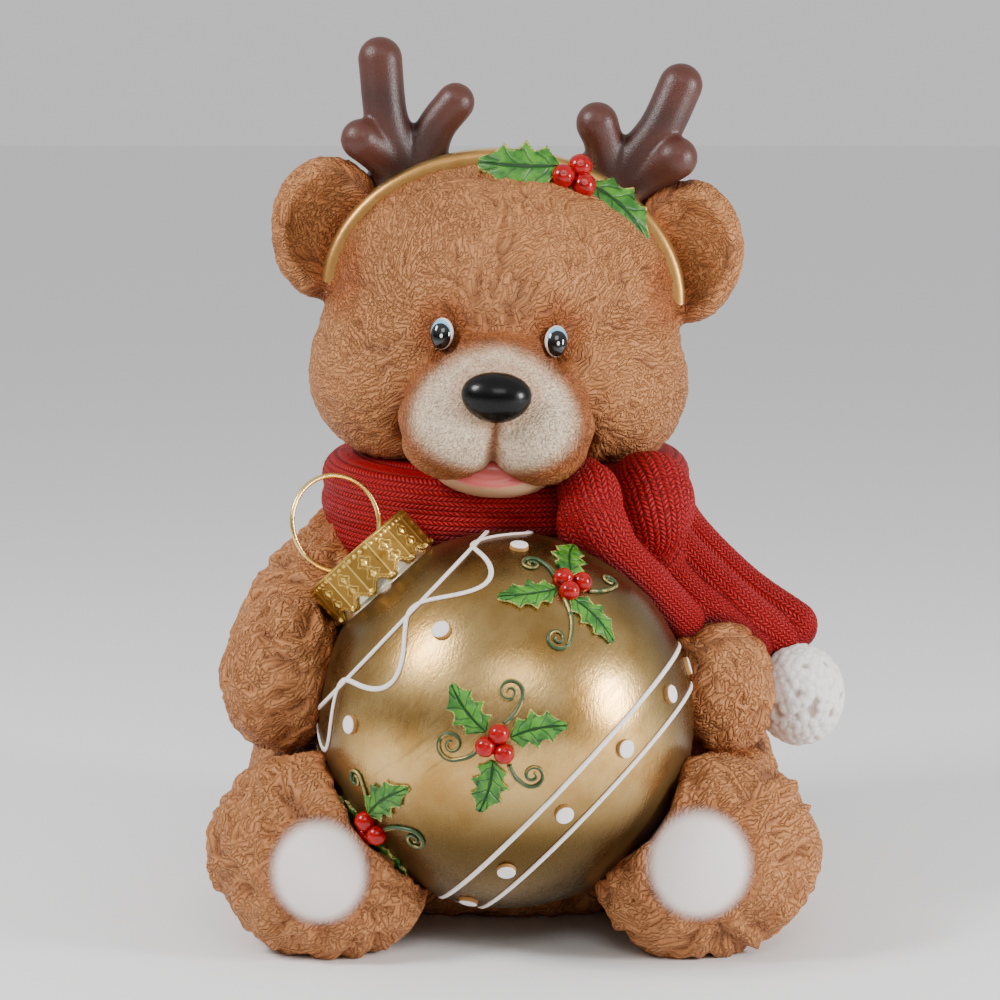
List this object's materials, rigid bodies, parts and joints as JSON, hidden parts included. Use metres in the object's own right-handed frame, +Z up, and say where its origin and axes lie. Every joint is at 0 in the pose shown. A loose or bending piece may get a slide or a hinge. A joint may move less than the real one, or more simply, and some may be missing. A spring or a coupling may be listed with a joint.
{
  "type": "christmas bear figurine",
  "caption": "Seated resin teddy bear with toy antlers and knitted scarf, hugging a large gold bauble with metal cap and wire ring.",
  "frame": {"origin": "centre of the bounding box on the floor, at the flat underside", "axes": "+Z up, -Y towards the face and the bauble, +X to the viewer's right"},
  "size_m": [0.318, 0.3044, 0.4423],
  "materials": {
    "fur_resin": "matt painted cast resin, brown fur with darker airbrushing",
    "muzzle_resin": "matt cream painted resin on muzzle, soles and pompom",
    "knit_resin": "red painted resin carved as knitting, lightly dry-brushed",
    "gold_leaf": "brushed gold leaf paint with brown airbrushed edges",
    "antler_resin": "satin dark brown painted resin",
    "gloss_paint": "glossy enamel on berries, eyes, nose and mouth",
    "leaf_paint": "satin green paint with gold dry-brushed edges",
    "white_paint": "raised matt white paint",
    "cap_brass": "bright stamped brass",
    "ring_brass": "bright brass wire"
  },
  "bodies": {
    "root": {"bear": "fur_resin", "ornament_cap": "cap_brass", "cap_ring": "ring_brass"}
  },
  "joints": []
}
